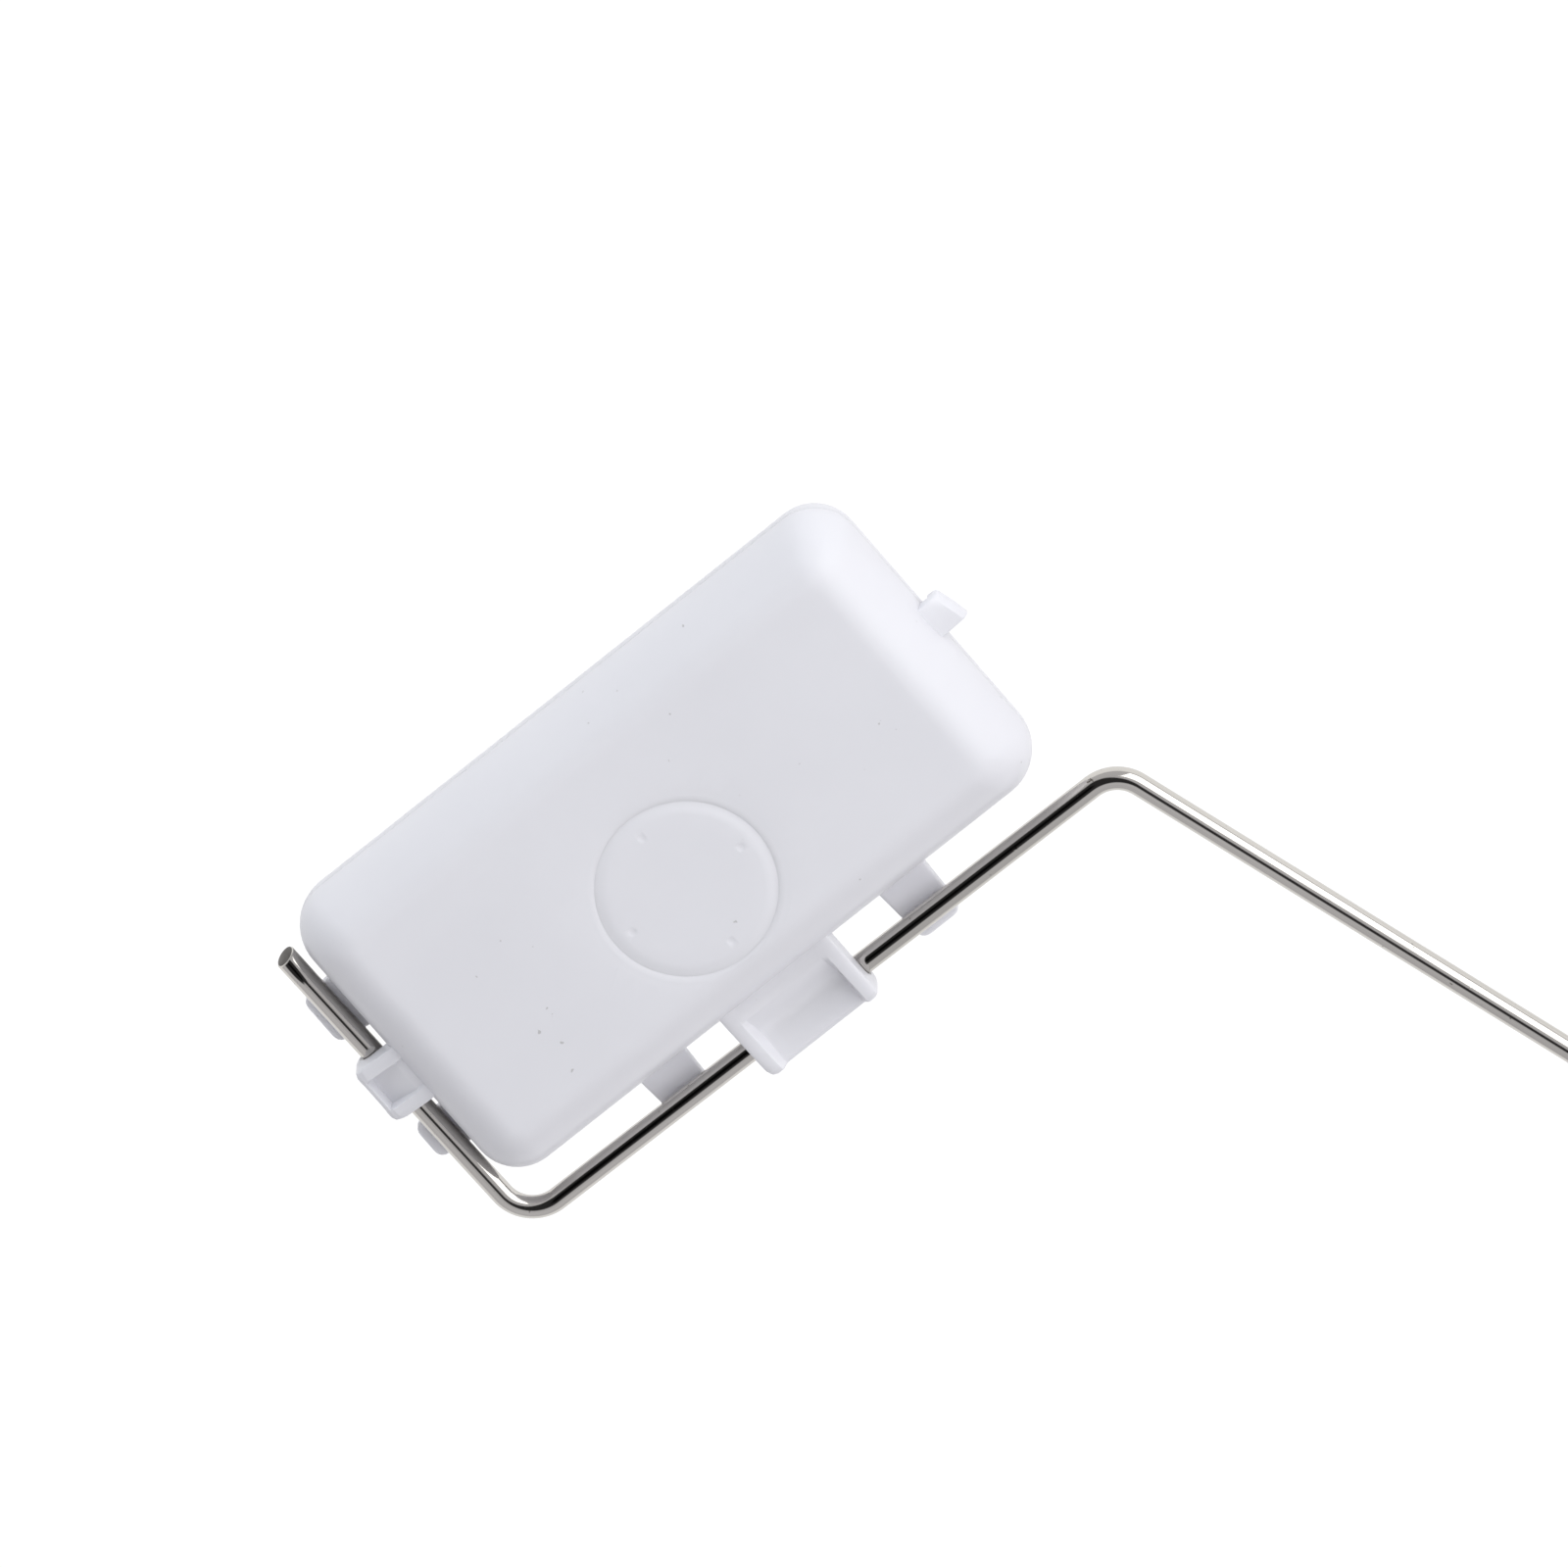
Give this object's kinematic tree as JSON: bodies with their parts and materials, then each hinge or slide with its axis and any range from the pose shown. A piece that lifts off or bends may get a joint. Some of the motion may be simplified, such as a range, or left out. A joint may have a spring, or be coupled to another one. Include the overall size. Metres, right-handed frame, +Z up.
{
  "type": "float valve",
  "caption": "Small tank float valve: threaded plastic inlet body, hinged lever driving a plunger, bent stainless wire arm and a flat clip-on float.",
  "frame": {"origin": "on the inlet axis, in the plane of the tank wall's inner face, where the wall gasket presses", "axes": "+X along the inlet axis into the tank, +Z up, +Y to the side on which the float lies"},
  "size_m": [0.2444, 0.1033, 0.0479],
  "materials": {
    "float_white": "satin moulded polypropylene, faintly cool white",
    "stainless": "bright drawn stainless steel",
    "body_plastic": "satin moulded acetal, white",
    "nylon": "natural nylon",
    "rubber": "moulded black rubber",
    "brass": "turned"
  },
  "bodies": {
    "body": {"valve_body": "body_plastic", "seat_nozzle": "brass", "nozzle_o_ring": "rubber", "outlet_spout": "body_plastic", "inlet_strainer": "nylon", "wall_gasket": "rubber", "backing_washer": "nylon", "lock_nut": "body_plastic", "tube_nut": "body_plastic", "tube_ferrule": "nylon", "pivot_pin": "stainless", "pivot_clip": "stainless"},
    "arm": {"lever": "body_plastic", "arm_screw": "stainless", "arm_clamp_nut": "stainless", "float_arm": "stainless", "float_upper_shell": "float_white", "float_lower_shell": "float_white", "float_plug": "float_white"},
    "plunger": {"plunger": "body_plastic", "seat_washer": "rubber", "plunger_o_ring": "rubber"}
  },
  "joints": [
    {"name": "arm_swing", "type": "hinge", "parent": "body", "child": "arm", "pos_m": [0.036, 0, -0.0095], "axis": [0, -1, 0], "range_deg": [0, 25]},
    {"name": "plunger_slide", "type": "slide", "parent": "body", "child": "plunger", "axis": [-1, 0, 0], "range_m": [0, 0.00413]}
  ],
  "couplings": [
    {"joint": "plunger_slide", "follows": "arm_swing", "m_per_rad": 0.009425}
  ]
}
